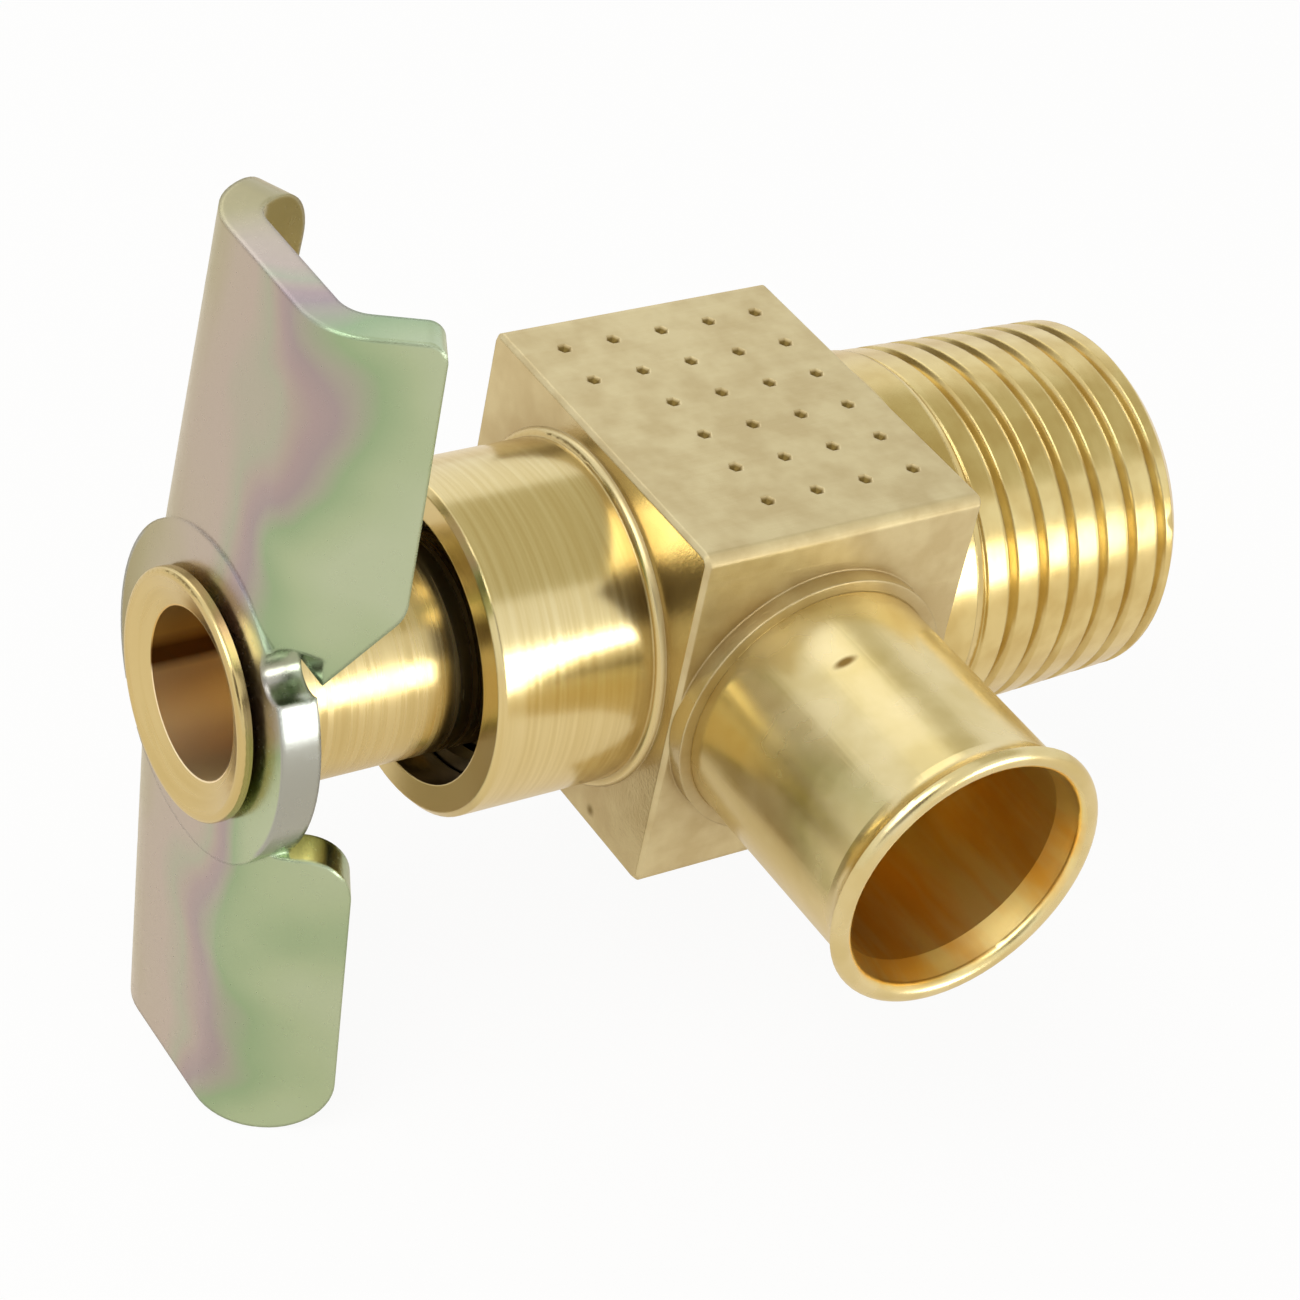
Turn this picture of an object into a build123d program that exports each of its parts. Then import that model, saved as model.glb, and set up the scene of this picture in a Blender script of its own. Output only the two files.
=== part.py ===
from build123d import *
from math import cos, radians, sin, tan
import os

# A brass angle shut-off cock: a square bar body with a male taper pipe thread at one end, a thin
# beaded hose tube at a right angle, and a screw-down stem turned by a stamped butterfly handle.
# +X runs along the pipe thread, away from the handle. The hose leaves along -Y, and +Z is up.
# The origin is on the pipe axis, on the block face that the pipe thread stands on.
# The stem is modelled fully open, against its stop ring. All sizes are in millimetres.

# Block, cut from square bar
bar_side = 14.2875
bar_edge_radius = 0.4
end_edge_chamfer = 0.15
block_length = 11.48

# Pits rolled into the top face of the bar
pit_pitch = 2.04
pit_diameter = 0.58
pit_depth = 0.2
pit_wall_angle = 40
pit_sides = 6
pit_columns = 5
pit_rows = 6
pit_edge_margin = 1.51
pit_front_margin = 2.31

# Pipe end: a plain shank, then a taper thread drawn as the cone of its roots
shank_diameter = 14.1
shank_length = 1.4
thread_end_diameter = 13.44
thread_taper = 1 / 16
thread_depth = 0.7
thread_reach = 11.2
thread_end_chamfer = 0.4
pipe_bore = 8.4
pipe_bore_depth = 10.5

# Valve seat and the chamber above it
orifice = 5.4
seat_diameter = 6.4
seat_height = 0.7
seat_setback = 2.8
chamber_bore = 8.2

# Bonnet collar, with the smooth bore that the stem's seal slides in
bonnet_diameter = 12.35
bonnet_length = 6.34
bonnet_edge_chamfer = 0.2
bonnet_root_radius = 0.3
gland_bore = 10.0
gland_depth = 6.65

# Stop ring in its groove near the mouth of the bonnet
stop_groove_setback = 1.5
stop_groove_width = 0.8
stop_groove_diameter = 10.9
stop_ring_thickness = 0.65
stop_ring_bore = 8.9
stop_ring_gap = 1.9

# Hose tube, soldered into a low collar on the block's front face
hose_setback = 6.09
hose_diameter = 9.78
hose_wall = 0.5
hose_length = 10.36
hose_socket_depth = 1.6
hose_collar_diameter = 10.7
hose_collar_height = 0.65
hose_port = 6.0
hose_flare_length = 1.3
hose_lip_diameter = 10.68
hose_lip_thickness = 0.75

# Stem
stem_diameter = 7.65
stem_bore = 6.0
stem_bore_depth = 6.4
stem_exposed = 6.62
drill_point_angle = 59
piston_length = 2.1
piston_clearance = 0.05
piston_play = 0.15
seal_groove_width = 1.3
seal_section = 1.15
seal_clearance = 0.02
stem_thread_clearance = 0.03
stem_thread_chamfer = 0.3
tenon_diameter = 6.9
tenon_across_flats = 6.6
tenon_clearance = 0.02
rivet_rim_diameter = 8.75
rivet_rim_height = 0.7
rivet_rim_lift = 0.25
rivet_seat_diameter = 7.6
rivet_mouth_diameter = 8.2
rivet_mouth_depth = 0.45
rivet_edge_radius = 0.2

# Swivel disc on the tip of the stem
valve_lift = 2.0
closing_gap = 0.02
swivel_neck_diameter = 2.6
swivel_neck_length = 1.0
swivel_head_diameter = 4.1
swivel_head_length = 0.9
swivel_clearance = 0.08
swivel_end_gap = 0.2
holder_diameter = 7.3
holder_web = 0.65
holder_rim_height = 0.9
washer_diameter = 6.6
washer_thickness = 1.3

# Butterfly handle, stamped from sheet: two channel wings on a round hub, half a turn apart
sheet = 1.42
handle_span = 33.1
hub_diameter = 11.83
wing_root = 2.76
root_reach = 4.56
short_tip_reach = 3.73
long_tip_reach = 4.18
wing_sweep = 0.42
short_root_depth = 3.47
short_tip_depth = 3.54
long_root_depth = 3.09
long_tip_depth = 3.66
flange_flare = 26.5
bend_radius = 2.57
long_root_gap = 0.85
long_flange_corner = 2.25
long_root_corner = 1.8
short_flange_corner = 0.64
short_slope_start = 0.7
short_slope_rise = 3.86
short_slope_run = 2.96
short_slope_corner = 1.0
relief_radius = 0.9
relief_reach = 4.6
relief_height = 4.0

# Places along the valve axis, from the origin
bonnet_mouth = -block_length - bonnet_length
gland_floor = bonnet_mouth + gland_depth
chamber_floor = seat_height - seat_setback
stop_groove_start = bonnet_mouth + stop_groove_setback
stop_groove_end = stop_groove_start + stop_groove_width
piston_back = stop_groove_end + piston_play
piston_front = piston_back + piston_length
plate_back = bonnet_mouth - stem_exposed
plate_front = plate_back - sheet
rim_front = plate_front - rivet_rim_height
pipe_bore_floor = thread_reach - pipe_bore_depth
washer_face = -seat_setback - valve_lift - closing_gap
washer_back = washer_face - washer_thickness
swivel_floor = washer_back - holder_web
swivel_head_tip = swivel_floor - swivel_clearance
swivel_head_back = swivel_head_tip - swivel_head_length
swivel_roof = swivel_head_back - swivel_clearance
stem_thread_end = swivel_head_back - swivel_neck_length
holder_back = stem_thread_end + swivel_end_gap
front_face = bar_side / 2

os.makedirs("parts", exist_ok=True)

# Body: block, bonnet collar and pipe shank turned from one bar
with BuildPart() as valve_body:
    with BuildSketch(Plane.YZ.offset(-block_length)):
        Rectangle(bar_side, bar_side)
    extrude(amount=block_length)
    fillet(valve_body.edges().filter_by(Axis.X), bar_edge_radius)
    chamfer(valve_body.faces().sort_by(Axis.X)[0].edges(), end_edge_chamfer)
    chamfer(valve_body.faces().sort_by(Axis.X)[-1].edges(), end_edge_chamfer)

    with BuildSketch(Plane.XY):
        with BuildLine():
            bonnet_r = bonnet_diameter / 2
            shank_r = shank_diameter / 2
            thread_end_r = thread_end_diameter / 2 - thread_depth
            thread_start_r = thread_end_r + (thread_reach - shank_length) * thread_taper / 2
            chamfer_start_r = thread_end_r + thread_end_chamfer * thread_taper / 2
            Polyline(
                (-block_length, bonnet_r + bonnet_root_radius),
                (-block_length / 2, bonnet_r + bonnet_root_radius),
                (-block_length / 2, shank_r),
                (shank_length, shank_r),
                (shank_length, thread_start_r),
                (thread_reach - thread_end_chamfer, chamfer_start_r),
                (thread_reach, thread_end_r - thread_end_chamfer),
                (thread_reach, 0),
                (bonnet_mouth, 0),
                (bonnet_mouth, bonnet_r - bonnet_edge_chamfer),
                (bonnet_mouth + bonnet_edge_chamfer, bonnet_r),
                (-block_length - bonnet_root_radius, bonnet_r),
            )
            RadiusArc(
                (-block_length - bonnet_root_radius, bonnet_r),
                (-block_length, bonnet_r + bonnet_root_radius),
                bonnet_root_radius,
            )
        make_face()
    revolve(axis=Axis.X)

    with Locations(Plane.XZ.offset(front_face - hose_socket_depth).move(Location((-hose_setback, 0, 0)))):
        Cylinder(
            hose_collar_diameter / 2,
            hose_socket_depth + hose_collar_height,
            align=(Align.CENTER, Align.CENTER, Align.MIN),
        )

    # Gland bore, chamber, raised seat, orifice and pipe bore
    with BuildSketch(Plane.XY):
        with BuildLine():
            Polyline(
                (bonnet_mouth, 0),
                (bonnet_mouth, gland_bore / 2),
                (gland_floor, gland_bore / 2),
                (gland_floor, chamber_bore / 2),
                (chamber_floor, chamber_bore / 2),
                (chamber_floor, seat_diameter / 2),
                (-seat_setback, seat_diameter / 2),
                (-seat_setback, orifice / 2),
                (pipe_bore_floor, orifice / 2),
                (pipe_bore_floor, pipe_bore / 2),
                (thread_reach, pipe_bore / 2),
                (thread_reach, 0),
                close=True,
            )
        make_face()
    revolve(axis=Axis.X, mode=Mode.SUBTRACT)

    with BuildSketch(Plane.YZ.offset(stop_groove_start)):
        Circle(stop_groove_diameter / 2)
    extrude(amount=stop_groove_width, mode=Mode.SUBTRACT)

    # Socket for the hose tube, and the port from it into the chamber
    with Locations(Plane.XZ.offset(front_face - hose_socket_depth).move(Location((-hose_setback, 0, 0)))):
        Cylinder(
            hose_diameter / 2,
            hose_socket_depth + hose_collar_height,
            align=(Align.CENTER, Align.CENTER, Align.MIN),
            mode=Mode.SUBTRACT,
        )
    with Locations(Plane.XZ.move(Location((-hose_setback, 0, 0)))):
        Cylinder(
            hose_port / 2,
            front_face - hose_socket_depth,
            align=(Align.CENTER, Align.CENTER, Align.MIN),
            mode=Mode.SUBTRACT,
        )

    # Pits, left out near the bonnet on all but the two back rows
    pit_places = [
        (
            -pit_edge_margin - column * pit_pitch,
            -front_face + pit_front_margin + row * pit_pitch,
        )
        for column in range(pit_columns)
        for row in range(pit_rows)
        if column < pit_columns - 1 or row >= pit_rows - 2
    ]
    with BuildSketch(Plane.XY.offset(bar_side / 2)):
        with Locations(*pit_places):
            RegularPolygon(pit_diameter / 2, pit_sides)
    extrude(amount=-pit_depth, taper=pit_wall_angle, mode=Mode.SUBTRACT)
valve_body.part.label = "valve_body"
export_step(valve_body.part, "parts/valve_body.step")

# Hose tube: thin drawn tube with a flared, rolled lip
hose_axis = Axis((-hose_setback, 0, 0), (0, 1, 0))
with BuildPart() as hose_tube:
    with BuildSketch(Plane.XY):
        with BuildLine():
            outer_x = -hose_setback + hose_diameter / 2
            inner_x = outer_x - hose_wall
            lip_outer_x = -hose_setback + hose_lip_diameter / 2
            lip_inner_x = lip_outer_x - hose_lip_thickness
            tube_foot = -(front_face - hose_socket_depth)
            tube_end = -(front_face + hose_length)
            flare_start = tube_end + hose_flare_length
            lip_start = tube_end + hose_lip_thickness / 2
            Polyline(
                (lip_inner_x, lip_start),
                (inner_x, flare_start),
                (inner_x, tube_foot),
                (outer_x, tube_foot),
                (outer_x, flare_start),
            )
            TangentArc((outer_x, flare_start), (lip_outer_x, lip_start), tangent=(0, -1))
            RadiusArc((lip_outer_x, lip_start), (lip_inner_x, lip_start), hose_lip_thickness / 2)
        make_face()
    revolve(axis=hose_axis)
hose_tube.part.label = "hose_tube"
export_step(hose_tube.part, "parts/hose_tube.step")

# Stop ring: a split ring sprung into the bonnet's groove
with BuildPart() as stop_ring:
    with BuildSketch(Plane.YZ.offset(stop_groove_start + (stop_groove_width - stop_ring_thickness) / 2)):
        Circle(stop_groove_diameter / 2)
        Circle(stop_ring_bore / 2, mode=Mode.SUBTRACT)
        Rectangle(stop_groove_diameter, stop_ring_gap, align=(Align.MIN, Align.CENTER), mode=Mode.SUBTRACT)
    extrude(amount=stop_ring_thickness)
stop_ring.part.label = "stop_ring"
export_step(stop_ring.part, "parts/stop_ring.step")

# Stem: hollow head riveted over the handle, seal piston, male thread and swivel tip
seal_outer_r = gland_bore / 2 - seal_clearance
seal_groove_r = seal_outer_r - seal_section - seal_clearance
piston_r = gland_bore / 2 - piston_clearance
stem_thread_r = chamber_bore / 2 - stem_thread_clearance
seal_middle = (piston_back + piston_front) / 2
bore_floor = rim_front + stem_bore_depth
with BuildPart() as stem:
    with BuildSketch(Plane.XY):
        with BuildLine():
            rim_r = rivet_rim_diameter / 2
            bore_r = stem_bore / 2
            rim_back = plate_front - rivet_rim_lift
            Polyline(
                (rim_front + rivet_edge_radius, rim_r),
                (rim_back, rim_r),
                (plate_front, rivet_seat_diameter / 2),
                (plate_front, tenon_diameter / 2),
                (plate_back, tenon_diameter / 2),
                (plate_back, stem_diameter / 2),
                (piston_back, stem_diameter / 2),
                (piston_back, piston_r),
                (seal_middle - seal_groove_width / 2, piston_r),
                (seal_middle - seal_groove_width / 2, seal_groove_r),
                (seal_middle + seal_groove_width / 2, seal_groove_r),
                (seal_middle + seal_groove_width / 2, piston_r),
                (piston_front, piston_r),
                (piston_front, stem_thread_r),
                (stem_thread_end - stem_thread_chamfer, stem_thread_r),
                (stem_thread_end, stem_thread_r - stem_thread_chamfer),
                (stem_thread_end, swivel_neck_diameter / 2),
                (swivel_head_back, swivel_neck_diameter / 2),
                (swivel_head_back, swivel_head_diameter / 2),
                (swivel_head_tip, swivel_head_diameter / 2),
                (swivel_head_tip, 0),
                (bore_floor + bore_r / tan(radians(drill_point_angle)), 0),
                (bore_floor, bore_r),
                (rim_front + rivet_mouth_depth, bore_r),
                (rim_front, rivet_mouth_diameter / 2),
                (rim_front, rim_r - rivet_edge_radius),
            )
            RadiusArc(
                (rim_front, rim_r - rivet_edge_radius),
                (rim_front + rivet_edge_radius, rim_r),
                rivet_edge_radius,
            )
        make_face()
    revolve(axis=Axis.X)
    # Two flats on the tenon that drives the handle
    with BuildSketch(Plane.YZ.offset(plate_front)):
        Circle(tenon_diameter / 2)
        Rectangle(tenon_across_flats, tenon_diameter, mode=Mode.SUBTRACT)
    extrude(amount=sheet, mode=Mode.SUBTRACT)
stem.part.label = "stem"
export_step(stem.part, "parts/stem.step")

# Seal: an O-ring in the piston's groove
with BuildPart() as stem_seal:
    with BuildSketch(Plane.XY):
        with Locations((seal_middle, seal_outer_r - seal_section / 2)):
            Circle(seal_section / 2)
    revolve(axis=Axis.X)
stem_seal.part.label = "stem_seal"
export_step(stem_seal.part, "parts/stem_seal.step")

# Swivel disc holder: closed over the stem's tip at the back, cupped round the washer at the front
with BuildPart() as disc_holder:
    with BuildSketch(Plane.XY):
        with BuildLine():
            neck_hole_r = swivel_neck_diameter / 2 + swivel_clearance
            head_room_r = swivel_head_diameter / 2 + swivel_clearance
            Polyline(
                (holder_back, neck_hole_r),
                (swivel_roof, neck_hole_r),
                (swivel_roof, head_room_r),
                (swivel_floor, head_room_r),
                (swivel_floor, 0),
                (washer_back, 0),
                (washer_back, washer_diameter / 2),
                (washer_back + holder_rim_height, washer_diameter / 2),
                (washer_back + holder_rim_height, holder_diameter / 2),
                (holder_back, holder_diameter / 2),
                close=True,
            )
        make_face()
    revolve(axis=Axis.X)
disc_holder.part.label = "disc_holder"
export_step(disc_holder.part, "parts/disc_holder.step")

with BuildPart() as seat_washer:
    with BuildSketch(Plane.YZ.offset(washer_back)):
        Circle(washer_diameter / 2)
    extrude(amount=washer_thickness)
seat_washer.part.label = "seat_washer"
export_step(seat_washer.part, "parts/seat_washer.step")

# One wing of the handle: a flared channel that narrows and leans back towards its tip
wing_tip = handle_span / 2
tip_front = plate_front + wing_sweep
flare_slope = tan(radians(flange_flare))
edge_step_x = sheet * sin(radians(flange_flare))
edge_step_y = sheet * cos(radians(flange_flare))
inner_corner_step = sheet * (flare_slope - 1 / cos(radians(flange_flare)))
slope_cut = 1.5
slope_run = slope_cut * short_slope_run
slope_rise = slope_cut * short_slope_rise
with BuildPart() as wing:
    for height, front, short_reach, long_reach, short_depth, long_depth in (
        (wing_root, plate_front, root_reach, root_reach, short_root_depth, long_root_depth),
        (wing_tip, tip_front, short_tip_reach, long_tip_reach, short_tip_depth, long_tip_depth),
    ):
        with BuildSketch(Plane.XY.offset(height)):
            with BuildLine():
                short_x = front + short_depth
                short_y = -short_reach - short_depth * flare_slope
                long_x = front + long_depth
                long_y = long_reach + long_depth * flare_slope
                inner_x = front + sheet
                outside = FilletPolyline(
                    (long_x, long_y),
                    (front, long_reach),
                    (front, -short_reach),
                    (short_x, short_y),
                    radius=bend_radius,
                )
                inside = FilletPolyline(
                    (long_x + edge_step_x, long_y - edge_step_y),
                    (inner_x, long_reach + inner_corner_step),
                    (inner_x, -short_reach - inner_corner_step),
                    (short_x + edge_step_x, short_y + edge_step_y),
                    radius=bend_radius - sheet,
                )
                Line(outside @ 0, inside @ 0)
                Line(outside @ 1, inside @ 1)
            make_face()
    loft()
    # The long flange starts off the hub and has round corners
    tip_edges = wing.faces().sort_by(Axis.Z)[-1].edges().sort_by(Axis.X)[-2:]
    fillet(tip_edges.sort_by(Axis.Y)[-1], long_flange_corner)
    with BuildSketch(Plane.XZ):
        with Locations((plate_front + sheet / 2, wing_root)):
            Rectangle(handle_span, long_root_gap, align=(Align.MIN, Align.MIN))
    extrude(amount=-handle_span / 2, mode=Mode.SUBTRACT)
    root_face = wing.faces().filter_by(Axis.Z).sort_by(Axis.Z)[1]
    fillet(root_face.edges().sort_by(Axis.X)[-1], long_root_corner)
    # The short flange has a sharp tip and a sloping root
    short_tip_edge = wing.faces().sort_by(Axis.Z)[-1].edges().sort_by(Axis.X)[-1]
    fillet(short_tip_edge, short_flange_corner)
    with BuildSketch(Plane.XZ):
        with BuildLine():
            slope_start = plate_front + short_root_depth + edge_step_x - short_slope_run
            slope_foot = wing_root + short_slope_start
            Polyline(
                (slope_start, wing_root),
                (slope_start + slope_run, wing_root),
                (slope_start + slope_run, slope_foot + slope_rise),
                (slope_start, slope_foot),
                close=True,
            )
        make_face()
    extrude(amount=handle_span / 2, mode=Mode.SUBTRACT)
    slope_face = wing.faces().filter_by(Axis((0, 0, 0), (slope_rise, 0, -slope_run)))[0]
    fillet(slope_face.edges().sort_by(Axis.Z)[-1], short_slope_corner)

with BuildPart() as handle:
    with BuildSketch(Plane.YZ.offset(plate_front)):
        Circle(hub_diameter / 2)
    extrude(amount=sheet)
    add(wing.part)
    add(wing.part.rotate(Axis.X, 180))
    with BuildSketch(Plane.YZ.offset(plate_front)):
        Circle(tenon_diameter / 2 + tenon_clearance)
        Rectangle(tenon_across_flats + 2 * tenon_clearance, hub_diameter, mode=Mode.INTERSECT)
        with Locations((-relief_reach, relief_height), (relief_reach, -relief_height)):
            Circle(relief_radius)
    extrude(amount=sheet, mode=Mode.SUBTRACT)
    # Flat seat for the stem's shoulder, behind wings that lean back
    with BuildSketch(Plane.YZ.offset(plate_back)):
        Circle(stem_diameter / 2 + tenon_clearance)
    extrude(amount=sheet, mode=Mode.SUBTRACT)
handle.part.label = "handle"
export_step(handle.part, "parts/handle.step")
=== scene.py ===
import bpy
import math
from mathutils import Matrix, Vector


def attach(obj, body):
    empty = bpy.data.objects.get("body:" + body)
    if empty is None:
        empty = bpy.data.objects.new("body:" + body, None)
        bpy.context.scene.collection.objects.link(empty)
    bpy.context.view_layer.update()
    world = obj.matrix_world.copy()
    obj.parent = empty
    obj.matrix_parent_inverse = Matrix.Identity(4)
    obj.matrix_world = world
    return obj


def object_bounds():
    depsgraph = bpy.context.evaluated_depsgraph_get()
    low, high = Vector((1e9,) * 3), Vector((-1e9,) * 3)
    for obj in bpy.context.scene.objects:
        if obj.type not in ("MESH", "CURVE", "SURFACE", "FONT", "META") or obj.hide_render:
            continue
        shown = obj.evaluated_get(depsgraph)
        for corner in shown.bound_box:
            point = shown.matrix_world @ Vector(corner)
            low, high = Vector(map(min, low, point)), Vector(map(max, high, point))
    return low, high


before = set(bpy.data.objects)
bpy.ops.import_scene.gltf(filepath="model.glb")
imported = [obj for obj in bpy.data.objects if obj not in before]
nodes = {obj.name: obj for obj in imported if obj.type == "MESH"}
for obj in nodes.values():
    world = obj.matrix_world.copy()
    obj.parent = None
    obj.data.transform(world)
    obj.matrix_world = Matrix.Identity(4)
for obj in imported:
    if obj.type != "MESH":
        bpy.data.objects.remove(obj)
cadLow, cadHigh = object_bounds()
mm = 0.001
scene = bpy.context.scene
scene.view_settings.view_transform = "Standard"
print("frame loaded:", ", ".join(sorted(nodes)))


# Small helpers: each node helper gives back the socket that carries its result

def linear(hexColour):
    channels = [int(hexColour[i:i + 2], 16) / 255 for i in (0, 2, 4)]
    return [c / 12.92 if c <= 0.04045 else ((c + 0.055) / 1.055) ** 2.4 for c in channels] + [1.0]


def addNode(tree, kind, inputs=None, **settings):
    node = tree.nodes.new(kind)
    for name, value in settings.items():
        setattr(node, name, value)
    for name, value in (inputs or {}).items():
        if isinstance(value, bpy.types.NodeSocket):
            tree.links.new(value, node.inputs[name])
        else:
            node.inputs[name].default_value = value
    return node


def number(tree, operation, *values, clamp=False):
    inputs = dict(enumerate(values))
    return addNode(tree, "ShaderNodeMath", inputs, operation=operation, use_clamp=clamp).outputs[0]


def vector(tree, operation, *values):
    node = addNode(tree, "ShaderNodeVectorMath", dict(enumerate(values)), operation=operation)
    return node.outputs["Value" if operation in ("LENGTH", "DISTANCE") else "Vector"]


def placeInMm(tree):
    coords = addNode(tree, "ShaderNodeTexCoord")
    inputs = {0: coords.outputs["Object"], "Scale": 1000.0}
    return addNode(tree, "ShaderNodeVectorMath", inputs, operation="SCALE").outputs[0]


def axesOf(tree, source):
    return addNode(tree, "ShaderNodeSeparateXYZ", {0: source}).outputs


def remap(tree, value, low, high, toLow=0.0, toHigh=1.0, **settings):
    inputs = {"Value": value, "From Min": low, "From Max": high, "To Min": toLow, "To Max": toHigh}
    return addNode(tree, "ShaderNodeMapRange", inputs, **settings).outputs[0]


def noise(tree, place, scale, detail, roughness=0.5):
    inputs = {"Vector": place, "Scale": scale, "Detail": detail, "Roughness": roughness}
    return addNode(tree, "ShaderNodeTexNoise", inputs).outputs[0]


def ramp(tree, value, stops):
    node = addNode(tree, "ShaderNodeValToRGB", {0: value})
    marks = node.color_ramp.elements
    for i, (position, colour) in enumerate(stops):
        mark = marks[i] if i < 2 else marks.new(position)
        mark.position = position
        mark.color = linear(colour)
    return node.outputs[0]


def twoTone(tree, value, colours, low=0.35, high=0.65):
    return ramp(tree, value, [(low, colours[0]), (high, colours[1])])


def roughBand(tree, value, limits):
    return remap(tree, value, 0.3, 0.7, *limits)


def mixColours(tree, share, first, second):
    return addNode(tree, "ShaderNodeMix", {0: share, 6: first, 7: second}, data_type="RGBA").outputs[2]


def mixNumbers(tree, share, first, second):
    return addNode(tree, "ShaderNodeMix", {0: share, 2: first, 3: second}, data_type="FLOAT").outputs[0]


def bumped(tree, look, height, edges=None):
    inputs = {"Strength": look["bumpStrength"], "Distance": look["bumpHeight"], "Height": height}
    if edges:
        inputs["Normal"] = edges
    return addNode(tree, "ShaderNodeBump", inputs).outputs[0]


def roundedEdges(tree, look):
    return addNode(tree, "ShaderNodeBevel", {"Radius": look["edgeRounding"]}, samples=6).outputs[0]


def newMaterial(name):
    material = bpy.data.materials.new(name)
    material.use_nodes = True
    tree = material.node_tree
    return material, tree, tree.nodes["Principled BSDF"]


def connect(tree, shader, colour, rough, normal=None, metallic=1.0):
    tree.links.new(colour, shader.inputs["Base Color"])
    tree.links.new(rough, shader.inputs["Roughness"])
    if normal:
        tree.links.new(normal, shader.inputs["Normal"])
    shader.inputs["Metallic"].default_value = metallic


def dress(node, material):
    mesh = nodes[node].data
    mesh.materials.clear()
    mesh.materials.append(material)


def clearSelection():
    if bpy.context.mode != "OBJECT":
        bpy.ops.object.mode_set(mode="OBJECT")
    bpy.ops.object.select_all(action="DESELECT")


def useModifier(piece, name, kind, **settings):
    modifier = piece.modifiers.new(name, kind)
    for key, value in settings.items():
        setattr(modifier, key, value)
    bpy.context.view_layer.objects.active = piece
    bpy.ops.object.modifier_apply(modifier=name)


# Camera, at the photograph's place

cameraFit = {
    "lens": 103.5234,
    "sensor": 36,
    "clip": (0.005, 50),
    "place": (-0.0761266, -0.0843951, 0.0778573),
    "right": (0.83765613, -0.51850359, 0.17171557),
    "up": (0.20226485, 0.5865006, 0.78428692),
    "back": (-0.50736687, -0.62223072, 0.59616087),
}
bpy.ops.object.camera_add()
camera = bpy.context.object
camera.name = "photoCamera"
camera.data.lens = cameraFit["lens"]
camera.data.sensor_width = cameraFit["sensor"]
camera.data.clip_start, camera.data.clip_end = cameraFit["clip"]
turned = Matrix((cameraFit["right"], cameraFit["up"], cameraFit["back"])).transposed().to_4x4()
camera.matrix_world = Matrix.Translation(cameraFit["place"]) @ turned
scene.camera = camera
print("camera set")


# Studio: pale floor, white surroundings, soft lamps, and cards that give the metal its bands

studio = {
    "floorSize": 6.0,
    "floorDrop": 0.05 * mm,
    "floorColour": "F1EFEA",
    "floorRoughness": 0.9,
    "cameraGlow": 0.92,  # share of plain white in what the camera sees of the floor
    "glossGlow": 0.5,  # and in what the metal mirrors of it
    "glossTint": "FFF1DE",  # warm light that the metal gets back from below
    "fillColour": "FFFDF8",
    "fillStrength": 0.6,
    "lamps": {
        "keyLamp": {"place": (-0.30, -0.12, 0.42), "size": 0.34, "power": 1.2},
        "backLamp": {"place": (0.04, 0.42, 0.36), "size": 0.30, "power": 0.22},
        "frontLamp": {"place": (0.26, -0.44, 0.07), "size": 0.18, "power": 0.68},
    },
    "cards": {
        "ceilingCard": {"place": (0.24, 0.02, 0.40), "width": 0.62, "height": 0.26, "colour": "CBC5AA"},
        "leftCard": {"place": (-0.26, 0.30, 0.09), "width": 0.20, "height": 0.10, "colour": "7A6C4C"},
        "cameraCard": {"place": (-0.26, -0.34, 0.28), "width": 0.36, "height": 0.28, "colour": "4A3A20"},
    },
}
white = linear("FFFFFF")

world = bpy.data.worlds.new("studioWorld")
scene.world = world
world.use_nodes = True
tree = world.node_tree
tree.nodes.clear()
path = addNode(tree, "ShaderNodeLightPath").outputs
seenOrMirrored = number(tree, "ADD", path["Is Camera Ray"], path["Is Glossy Ray"], clamp=True)
shown = number(tree, "ADD", seenOrMirrored, path["Is Transmission Ray"], clamp=True)
fillInputs = {"Color": linear(studio["fillColour"]), "Strength": studio["fillStrength"]}
fill = addNode(tree, "ShaderNodeBackground", fillInputs)
plain = addNode(tree, "ShaderNodeBackground", {"Color": white, "Strength": 1.0})
sky = addNode(tree, "ShaderNodeMixShader", {0: shown, 1: fill.outputs[0], 2: plain.outputs[0]})
addNode(tree, "ShaderNodeOutputWorld", {"Surface": sky.outputs[0]})

clearSelection()
floorPlace = (0, 0, cadLow.z - studio["floorDrop"])
bpy.ops.mesh.primitive_plane_add(size=studio["floorSize"], location=floorPlace)
floor = bpy.context.object
floor.name = "paleFloor"
# Pale sweep of paper, near white, which keeps a soft shadow
material, tree, shader = newMaterial("matt_paper_floor")
shader.inputs["Roughness"].default_value = studio["floorRoughness"]
shader.inputs["Base Color"].default_value = linear(studio["floorColour"])
path = addNode(tree, "ShaderNodeLightPath").outputs
cameraShare = number(tree, "MULTIPLY", path["Is Camera Ray"], studio["cameraGlow"])
share = number(tree, "MULTIPLY_ADD", path["Is Glossy Ray"], studio["glossGlow"], cameraShare)
glowColour = mixColours(tree, path["Is Glossy Ray"], white, linear(studio["glossTint"]))
glow = addNode(tree, "ShaderNodeEmission", {"Color": glowColour, "Strength": 1.0})
paper = addNode(tree, "ShaderNodeMixShader", {0: share, 1: shader.outputs[0], 2: glow.outputs[0]})
tree.links.new(paper.outputs[0], tree.nodes["Material Output"].inputs["Surface"])
floor.data.materials.append(material)

middle = (cadLow + cadHigh) / 2
for name, lamp in studio["lamps"].items():
    bpy.ops.object.light_add(type="AREA", location=lamp["place"])
    light = bpy.context.object
    light.name = name
    light.data.shape = "SQUARE"
    light.data.size = lamp["size"]
    light.data.energy = lamp["power"]
    light.rotation_euler = (middle - Vector(lamp["place"])).to_track_quat("-Z", "Y").to_euler()

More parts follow.
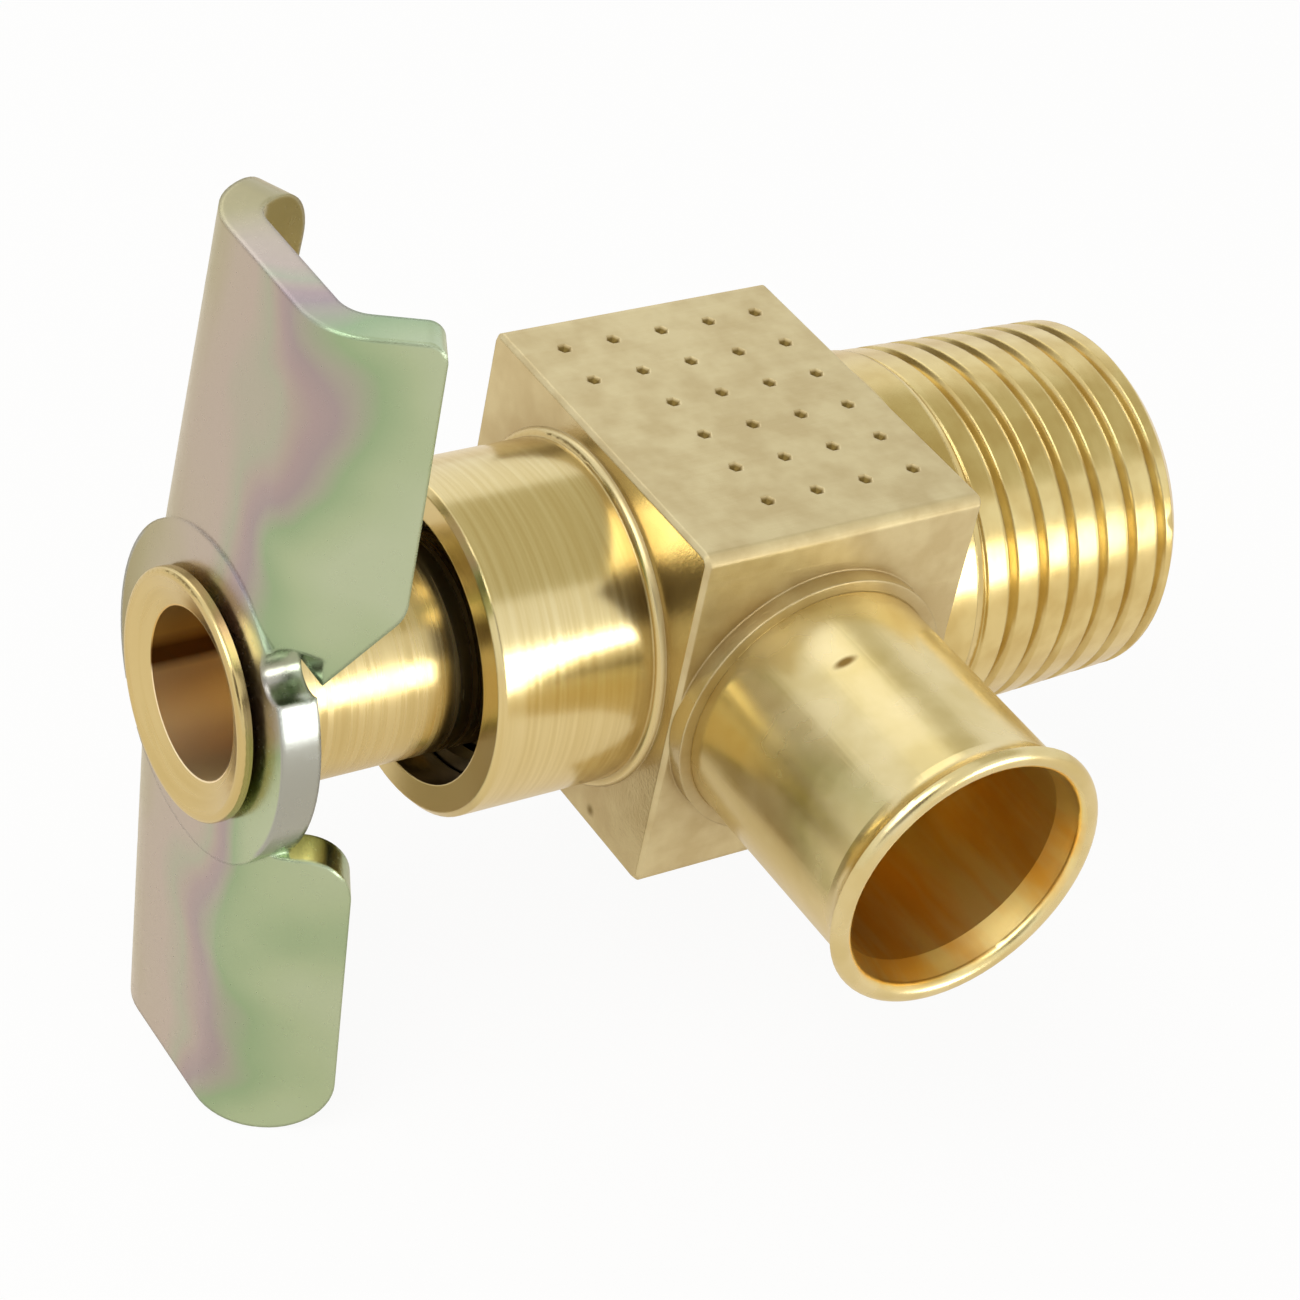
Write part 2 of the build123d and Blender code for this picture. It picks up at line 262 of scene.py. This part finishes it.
for name, card in studio["cards"].items():
    clearSelection()
    facing = (middle - Vector(card["place"])).to_track_quat("Z", "Y").to_euler()
    bpy.ops.mesh.primitive_plane_add(size=1, location=card["place"], rotation=facing)
    flag = bpy.context.object
    flag.name = name
    flag.scale = (card["width"], card["height"], 1)
    flag.visible_camera = False
    flag.visible_shadow = False
    flag.visible_diffuse = False
    # Unlit board, only there to be mirrored
    material, tree, shader = newMaterial("dark_card_" + name)
    board = addNode(tree, "ShaderNodeEmission", {"Color": linear(card["colour"]), "Strength": 1.0})
    tree.links.new(board.outputs[0], tree.nodes["Material Output"].inputs["Surface"])
    flag.data.materials.append(material)
print("studio set")


# Valve body: drawn square brass bar, dull on its faces, with lathe rings where it was turned

bodyLook = {
    "barColours": ("C8B78C", "D6C89E"),
    "turnedColours": ("DAC68E", "E3D29E"),
    "pipeColours": ("D3BB7C", "E0CC90"),
    "paintedShadeColour": "8A6A30",  # painted shade in corners and grooves
    "paintedShadeReach": 2.5 * mm,
    "paintedShadeOpenness": (0.35, 0.9),  # share of open sky, from full painted shade to none
    "paintedShadeStrength": 0.6,
    "pipePaintedShade": 0.4,  # share of the painted shade kept in the grooves of the pipe thread
    "halfSide": 7.14,  # mm
    "blockLength": 11.48,  # mm
    "ringSpacing": 0.2,  # mm, lathe feed drawn coarser than the real 0.1 so that it shows
    "ringRun": 0.12,  # change per mm round a ring
    "ringShare": 0.045,  # of the rings in the relief
    "streakSpacing": 0.14,  # mm, die lines along the bar
    "streakRun": 0.25,  # change per mm along a streak
    "grainScale": 5.0,
    "grainShare": 0.5,
    "patchSize": 1.3,  # mm, mottling of the drawn skin
    "barRoughness": (0.36, 0.5),
    "turnedRoughness": (0.18, 0.22),
    "facedRoughness": 0.22,  # of the block's two lathe-faced ends
    "cornerRoughness": 0.25,  # added on the slanting edges of the bar
    "edgeRounding": 0.1 * mm,
    "bumpStrength": 0.5,
    "bumpHeight": 0.02 * mm,
    "pitColour": "84703E",
    "pitRim": 0.01,  # mm under the top face, where a pit begins to darken
    "pitFloor": 0.09,
    "pitDeepest": 0.3,
    "pitFromSides": 0.6,  # mm
    "pitFromEnds": 0.4,
    "strayPit": (-11.48, -3.74, -6.40),  # mm, a knock on the handle side of the block
    "strayPitRadius": 0.32,
}
look = bodyLook
blockEnd = -look["blockLength"]
halfLength = look["blockLength"] / 2

# Pale yellow metal, satin on the bar and ringed on the collars
bodyBrass, tree, shader = newMaterial("drawn_and_turned_brass")
place = placeInMm(tree)
axes = axesOf(tree, place)
onBonnet = remap(tree, axes["X"], blockEnd - 0.25, blockEnd + 0.05, 1.0, 0.0)
onPipe = remap(tree, axes["X"], -0.1, 0.1)
turnedPart = number(tree, "ADD", onBonnet, onPipe, clamp=True)

# Relief: rings on the turned parts, streaks and grain on the bar
ringScale = (1 / look["ringSpacing"], look["ringRun"], look["ringRun"])
rings = noise(tree, vector(tree, "MULTIPLY", place, ringScale), 1.0, 2.0, 0.6)
streakScale = (look["streakRun"], 1 / look["streakSpacing"], 1 / look["streakSpacing"])
streaks = noise(tree, vector(tree, "MULTIPLY", place, streakScale), 1.0, 2.0, 0.6)
grain = noise(tree, place, look["grainScale"], 3.0, 0.65)
patches = noise(tree, place, 1 / look["patchSize"], 2.0)
barRelief = mixNumbers(tree, look["grainShare"], streaks, grain)
softRings = mixNumbers(tree, look["ringShare"], 0.5, rings)
relief = mixNumbers(tree, turnedPart, barRelief, softRings)

# Colour: one for each way the brass was worked, with painted shade in the corners
barColour = twoTone(tree, patches, look["barColours"])
turnedColour = twoTone(tree, rings, look["turnedColours"])
pipeColour = twoTone(tree, patches, look["pipeColours"])
unshadedColour = mixColours(tree, onPipe, mixColours(tree, onBonnet, barColour, turnedColour), pipeColour)
# Painted shade: darker where ambient occlusion finds the surface enclosed, less of it on the pipe thread
openness = addNode(tree, "ShaderNodeAmbientOcclusion", {"Distance": look["paintedShadeReach"]}, samples=6)
paintedShadeAmount = remap(tree, openness.outputs["AO"], *look["paintedShadeOpenness"], look["paintedShadeStrength"], 0.0)
paintedShadeScale = remap(tree, onPipe, 0.0, 1.0, 1.0, look["pipePaintedShade"])
paintedShade = number(tree, "MULTIPLY", paintedShadeAmount, paintedShadeScale)
withPaintedShade = mixColours(tree, paintedShade, unshadedColour, linear(look["paintedShadeColour"]))

# Pits of the top face: just below its plane, away from the block's own edges
top = look["halfSide"]
sunk = remap(tree, axes["Z"], top - look["pitFloor"], top - look["pitRim"], 1.0, 0.0)
nearTop = number(tree, "GREATER_THAN", axes["Z"], top - look["pitDeepest"])
sideways = number(tree, "ABSOLUTE", axes["Y"])
offSides = number(tree, "LESS_THAN", sideways, look["halfSide"] - look["pitFromSides"])
lengthways = number(tree, "ABSOLUTE", number(tree, "ADD", axes["X"], halfLength))
offEnds = number(tree, "LESS_THAN", lengthways, halfLength - look["pitFromEnds"])
onTop = number(tree, "MULTIPLY", offSides, offEnds)
inTop = number(tree, "MULTIPLY", onTop, nearTop)
inPit = number(tree, "MULTIPLY", inTop, sunk)
fromPit = vector(tree, "DISTANCE", place, look["strayPit"])
pitReach = look["strayPitRadius"]
pitted = remap(tree, fromPit, 0.0, pitReach, 1.0, 0.0, interpolation_type="SMOOTHSTEP")
anyPit = number(tree, "MAXIMUM", inPit, pitted)
colour = mixColours(tree, anyPit, withPaintedShade, linear(look["pitColour"]))

# Roughness: satin bar, smoother lathe-faced ends, duller slanting edges, bright turned parts
barRough = roughBand(tree, barRelief, look["barRoughness"])
turnedRough = roughBand(tree, rings, look["turnedRoughness"])
normal = axesOf(tree, addNode(tree, "ShaderNodeNewGeometry").outputs["Normal"])
slantX, slantY, slantZ = [number(tree, "ABSOLUTE", normal[axis]) for axis in ("X", "Y", "Z")]
faced = remap(tree, slantX, 0.9, 0.98)
skinRough = mixNumbers(tree, faced, barRough, look["facedRoughness"])
onCorner = number(tree, "MINIMUM", slantY, slantZ)
cornerRough = remap(tree, onCorner, 0.1, 0.4, 0.0, look["cornerRoughness"])
barOrCorner = number(tree, "ADD", skinRough, cornerRough)
rough = mixNumbers(tree, turnedPart, barOrCorner, turnedRough)
connect(tree, shader, colour, rough, bumped(tree, look, relief, roundedEdges(tree, look)))
dress("valve_body", bodyBrass)
print("body dressed")


# Pipe thread: a helical ridge on the root cone, run out into the shank and chamfered at its end

pipeThread = {
    "pitch": 1.411 * mm,  # 18 ridges to the inch
    "start": 1.4 * mm,
    "end": 11.19 * mm,
    "rootRadius": 6.70 * mm,  # at the start, over the solid's cone
    "depth": 0.34 * mm,
    "taper": 1 / 16,
    "boreRadius": 5.62 * mm,
    "turns": 9,
    "stepsPerTurn": 96,
    "endChamfer": 0.55 * mm,
    "runout": 1.5 * mm,
    "runoutSink": (0.03 * mm, 0.15 * mm),  # of its two ends, under the shank and under the roots
    "shankRadius": 7.05 * mm,
    "profile": ((0, 0), (0.04, 0), (0.18, 1), (0.82, 1), (0.96, 0), (1, 0)),  # narrow grooves, flat crests
    "weld": 1e-6,
    "cutTolerance": 1e-8,
    "smoothAngle": 40,  # degrees
}


def addCylinder(t, name, radius, back, ahead):
    clearSelection()
    depth = t["end"] - t["start"] + back + ahead
    centre = (t["start"] - back + depth / 2, 0, 0)
    bpy.ops.mesh.primitive_cylinder_add(vertices=t["stepsPerTurn"], radius=radius, depth=depth,
                                        location=centre, rotation=(0, math.pi / 2, 0))
    cylinder = bpy.context.object
    cylinder.name = name
    bpy.ops.object.transform_apply(location=True, rotation=True)
    return cylinder


def makePipeThread(t):
    clearSelection()
    firstX = t["start"] - t["pitch"]
    bpy.ops.mesh.primitive_plane_add(size=0.1 * mm, location=(firstX, 0, t["rootRadius"]))
    ridge = bpy.context.object
    ridge.name = "pipeThreadRidge"
    bpy.ops.object.transform_apply(location=True)
    bpy.ops.object.mode_set(mode="EDIT")
    bpy.ops.mesh.select_all(action="SELECT")
    bpy.ops.mesh.merge(type="CENTER")
    for (x0, r0), (x1, r1) in zip(t["profile"], t["profile"][1:]):
        move = ((x1 - x0) * t["pitch"], 0, (r1 - r0) * t["depth"])
        bpy.ops.mesh.extrude_region_move(TRANSFORM_OT_translate={"value": move})
    bpy.ops.object.mode_set(mode="OBJECT")
    useModifier(ridge, "helix", "SCREW", axis="X", angle=2 * math.pi, screw_offset=t["pitch"],
                iterations=t["turns"], steps=t["stepsPerTurn"], render_steps=t["stepsPerTurn"],
                use_merge_vertices=True, merge_threshold=t["weld"])
    bpy.ops.object.mode_set(mode="EDIT")
    bpy.ops.mesh.select_all(action="SELECT")
    bpy.ops.mesh.remove_doubles(threshold=t["weld"])
    for end, side in (("start", "clear_inner"), ("end", "clear_outer")):
        bpy.ops.mesh.select_all(action="SELECT")
        bpy.ops.mesh.bisect(plane_co=(t[end], 0, 0), plane_no=(1, 0, 0), use_fill=True,
                            threshold=t["cutTolerance"], **{side: True})
    bpy.ops.mesh.select_all(action="SELECT")
    bpy.ops.mesh.normals_make_consistent(inside=False)
    bpy.ops.object.mode_set(mode="OBJECT")
    length = t["end"] - t["start"]
    narrowing = -t["taper"] / 2 * length / t["rootRadius"]
    useModifier(ridge, "taper", "SIMPLE_DEFORM", deform_method="TAPER", deform_axis="X", factor=narrowing)

    # Barrel that chamfers the last ridge, and a plug for the bore
    topRadius = t["rootRadius"] + t["depth"] * 1.4
    endRadius = t["rootRadius"] + t["depth"] - length * t["taper"] / 2
    barrel = addCylinder(t, "barrel", topRadius, 2 * mm, 0)
    plug = addCylinder(t, "plug", t["boreRadius"], 3 * mm, 3 * mm)
    bpy.context.view_layer.objects.active = barrel
    bpy.ops.object.mode_set(mode="EDIT")
    bpy.ops.mesh.select_mode(type="EDGE")
    bpy.ops.mesh.select_all(action="DESELECT")
    bpy.ops.object.mode_set(mode="OBJECT")
    corners = barrel.data.vertices
    for edge in barrel.data.edges:
        edge.select = all(abs(corners[v].co.x - t["end"]) < 1e-7 for v in edge.vertices)
    bpy.ops.object.mode_set(mode="EDIT")
    bpy.ops.mesh.bevel(offset=topRadius - endRadius + t["endChamfer"], segments=1, affect="EDGES")
    bpy.ops.object.mode_set(mode="OBJECT")
    useModifier(ridge, "roundEnd", "BOOLEAN", operation="INTERSECT", object=barrel, solver="EXACT")

    # Cone of shallow ridges where the die ran out
    clearSelection()
    shankSink, rootSink = t["runoutSink"]
    bpy.ops.mesh.primitive_cone_add(vertices=t["stepsPerTurn"], radius1=t["shankRadius"] - shankSink,
                                    radius2=t["rootRadius"] - rootSink, depth=t["runout"],
                                    location=(t["start"] + t["runout"] / 2, 0, 0),
                                    rotation=(0, math.pi / 2, 0))
    runout = bpy.context.object
    bpy.ops.object.transform_apply(location=True, rotation=True)
    useModifier(ridge, "runout", "BOOLEAN", operation="UNION", object=runout, solver="EXACT")
    useModifier(ridge, "bore", "BOOLEAN", operation="DIFFERENCE", object=plug, solver="EXACT")
    for cutter in (barrel, plug, runout):
        bpy.data.objects.remove(cutter)
    clearSelection()
    ridge.select_set(True)
    bpy.context.view_layer.objects.active = ridge
    bpy.ops.object.shade_smooth_by_angle(angle=math.radians(t["smoothAngle"]))
    return ridge


ridge = makePipeThread(pipeThread)
ridge.data.materials.clear()
ridge.data.materials.append(bodyBrass)
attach(ridge, "valve")
print("pipe thread cut:", len(ridge.data.polygons), "faces")


# Hose tube: thin drawn tube, the brightest brass on the part

tubeLook = {
    "colours": ("D5C288", "E3D3A2"),
    # painted light: the bore wall made lighter than the outside
    "paintedLightInsideColours": ("FCCC62", "FFEEA6"),
    "roughness": (0.2, 0.3),
    "insideRoughness": 0.36,
    "reflectionStreakSize": 1.6,  # mm, painted reflection streaks along the bore
    "reflectionStreakRun": 0.1,  # change per mm along a streak
    "lineSpacing": 0.12,  # mm, die lines along the tube, drawn coarser than real
    "lineRun": 0.2,
    "patchSize": 2.5,
    "axisX": -6.09,  # mm
    "innerRadius": 4.5,
    "outerRadius": 4.8,
    "nick": (-7.75, -10.69, 4.60),  # mm, a small dent on the upper side
    "nickSize": (0.62, 0.26, 0.45),
    "nickColour": "7A6030",
    "bumpStrength": 0.3,
    "bumpHeight": 0.01 * mm,
}
look = tubeLook

# Smooth deep gold with faint lines along its length
tubeBrass, tree, shader = newMaterial("bright_drawn_brass_tube")
place = placeInMm(tree)
lineScale = (1 / look["lineSpacing"], look["lineRun"], 1 / look["lineSpacing"])
lines = noise(tree, vector(tree, "MULTIPLY", place, lineScale), 1.0, 2.0)
patches = noise(tree, place, 1 / look["patchSize"], 3.0)
# Inside the bore: painted light, lighter colours with painted reflection streaks along it
fromAxis = vector(tree, "ADD", place, (-look["axisX"], 0, 0))
radius = vector(tree, "LENGTH", vector(tree, "MULTIPLY", fromAxis, (1, 0, 1)))
inside = remap(tree, radius, look["innerRadius"], look["outerRadius"], 1.0, 0.0)
stainAndReflectionScale = (1 / look["reflectionStreakSize"], look["reflectionStreakRun"], 1 / look["reflectionStreakSize"])
reflectionStreaks = noise(tree, vector(tree, "MULTIPLY", place, stainAndReflectionScale), 1.0, 3.0)
paintedLightInsideColour = twoTone(tree, reflectionStreaks, look["paintedLightInsideColours"], 0.38, 0.62)
wallColour = mixColours(tree, inside, twoTone(tree, patches, look["colours"]), paintedLightInsideColour)
nickSpace = vector(tree, "DIVIDE", vector(tree, "SUBTRACT", place, look["nick"]), look["nickSize"])
nickReach = vector(tree, "LENGTH", nickSpace)
nicked = remap(tree, nickReach, 0.3, 1.0, 1.0, 0.0, interpolation_type="SMOOTHSTEP")
colour = mixColours(tree, nicked, wallColour, linear(look["nickColour"]))
outRough = roughBand(tree, patches, look["roughness"])
rough = mixNumbers(tree, inside, outRough, look["insideRoughness"])
connect(tree, shader, colour, rough, bumped(tree, look, lines))
dress("hose_tube", tubeBrass)
print("hose tube dressed")


# Stem and swivel disc: turned brass

stemLook = {
    "colours": ("D0BA80", "DAC68F"),
    "paintedBoreLightAndShade": [(0.0, "FFF0CC"), (0.3, "FFEBC0"), (0.36, "6A4820"), (0.44, "6A4820"),
                    (0.54, "D8B064"), (1.0, "E4C684")],  # painted light low in the hollow head, a band of painted shade, golden above it
    "boreRadius": 3.05,  # mm
    "boreEnd": -18.0,  # mm
    "boreRoughness": 0.36,  # drilled, not turned
    "roughness": (0.2, 0.32),
    "ringSpacing": 0.2,  # mm
    "ringRun": 0.15,  # change per mm round a ring
    "bumpStrength": 0.2,
    "bumpHeight": 0.015 * mm,
}
look = stemLook

# Fine rings round the shaft, satin gold
stemBrass, tree, shader = newMaterial("turned_brass_stem")
place = placeInMm(tree)
axes = axesOf(tree, place)
ringScale = (1 / look["ringSpacing"], look["ringRun"], look["ringRun"])
rings = noise(tree, vector(tree, "MULTIPLY", place, ringScale), 1.0, 2.0)
fromAxis = vector(tree, "LENGTH", vector(tree, "MULTIPLY", place, (0, 1, 1)))
within = number(tree, "LESS_THAN", fromAxis, look["boreRadius"])
atHead = number(tree, "LESS_THAN", axes["X"], look["boreEnd"])
inBore = number(tree, "MULTIPLY", within, atHead)
# Painted light and shade in the hollow head: bands by height, lightest at the bottom
upBore = remap(tree, axes["Z"], -look["boreRadius"], look["boreRadius"])
paintedBoreColour = ramp(tree, upBore, look["paintedBoreLightAndShade"])
colour = mixColours(tree, inBore, twoTone(tree, rings, look["colours"]), paintedBoreColour)
shaftRough = roughBand(tree, rings, look["roughness"])
rough = mixNumbers(tree, inBore, shaftRough, look["boreRoughness"])
connect(tree, shader, colour, rough, bumped(tree, look, rings))
for node in ("stem", "disc_holder"):
    dress(node, stemBrass)
print("stem dressed")


# Butterfly handle: stamped steel with yellow passivated zinc, which shows drifting film colours

handleLook = {
    "bands": [(0.0, "BCC9AC"), (0.08, "B2C2A0"), (0.17, "9DB490"), (0.23, "ABAA9E"), (0.28, "AA9DA0"),
              (0.33, "B0A0A2"), (0.38, "B6ABA3"), (0.43, "B2B4A3"), (0.52, "BFB3AA"), (0.64, "BFB4A8"),
              (0.76, "BAB29B"), (0.86, "AFA986"), (1.0, "A39A71")],
    "reach": 6.5,  # mm, half the width over which the film colours run
    "wander": 1.8,  # mm, how far noise shifts the bands
    "driftSize": 6.0,  # mm
    "hubRadius": 5.75,  # mm, outside this the hub's sheared edge is bare of the film and carries a painted highlight
    "hubHeight": 3.4,  # mm, and up to here
    "shearedEdgeAndHighlightColour": "ACAFA9",
    "roughness": (0.2, 0.28),
    "grainSize": 0.25,  # mm
    "edgeRounding": 0.25 * mm,
    "bumpStrength": 0.2,
    "bumpHeight": 0.01 * mm,
}
look = handleLook

# Thin iridescent film over bright zinc: tan, mauve and green
handleZinc, tree, shader = newMaterial("yellow_passivated_zinc")
place = placeInMm(tree)
axes = axesOf(tree, place)
drift = noise(tree, place, 1 / look["driftSize"], 1.5)
shift = remap(tree, drift, 0.25, 0.75, -look["wander"], look["wander"])
across = number(tree, "ADD", axes["Y"], shift)
film = ramp(tree, remap(tree, across, -look["reach"], look["reach"]), look["bands"])
grain = noise(tree, place, 1 / look["grainSize"], 3.0)
fromStem = vector(tree, "LENGTH", vector(tree, "MULTIPLY", place, (0, 1, 1)))
# Hub's sheared edge: bare zinc colour together with a painted highlight
outer = remap(tree, fromStem, look["hubRadius"], look["hubRadius"] + 0.1)
height = number(tree, "ABSOLUTE", axes["Z"])
level = remap(tree, height, look["hubHeight"] - 0.4, look["hubHeight"], 1.0, 0.0)
shearedEdgeAndHighlight = number(tree, "MULTIPLY", outer, level)
colour = mixColours(tree, shearedEdgeAndHighlight, film, linear(look["shearedEdgeAndHighlightColour"]))
rough = roughBand(tree, grain, look["roughness"])
connect(tree, shader, colour, rough, bumped(tree, look, grain, roundedEdges(tree, look)))
dress("handle", handleZinc)
print("handle dressed")


# Hidden pieces: spring steel ring, rubber seal and washer

ringLook = {"colours": ("3A3632", "5E5850"), "roughness": (0.3, 0.45), "stainAndReflectionScale": 1.2}
rubberLook = {"colours": ("1A1A19", "2A2927"), "roughness": (0.5, 0.65), "skinScale": 4.0}

# Dark grey wire with a thin film of oil
ringSteel, tree, shader = newMaterial("oiled_spring_steel")
stain = noise(tree, placeInMm(tree), ringLook["stainAndReflectionScale"], 3.0)
colour = twoTone(tree, stain, ringLook["colours"], 0.3, 0.7)
connect(tree, shader, colour, roughBand(tree, stain, ringLook["roughness"]))
dress("stop_ring", ringSteel)

# Black and dull, with a slightly greasy sheen
sealRubber, tree, shader = newMaterial("moulded_nitrile_rubber")
skin = noise(tree, placeInMm(tree), rubberLook["skinScale"], 3.0)
colour = twoTone(tree, skin, rubberLook["colours"], 0.3, 0.7)
connect(tree, shader, colour, roughBand(tree, skin, rubberLook["roughness"]), metallic=0.0)
for node in ("stem_seal", "seat_washer"):
    dress(node, sealRubber)
print("hidden pieces dressed")
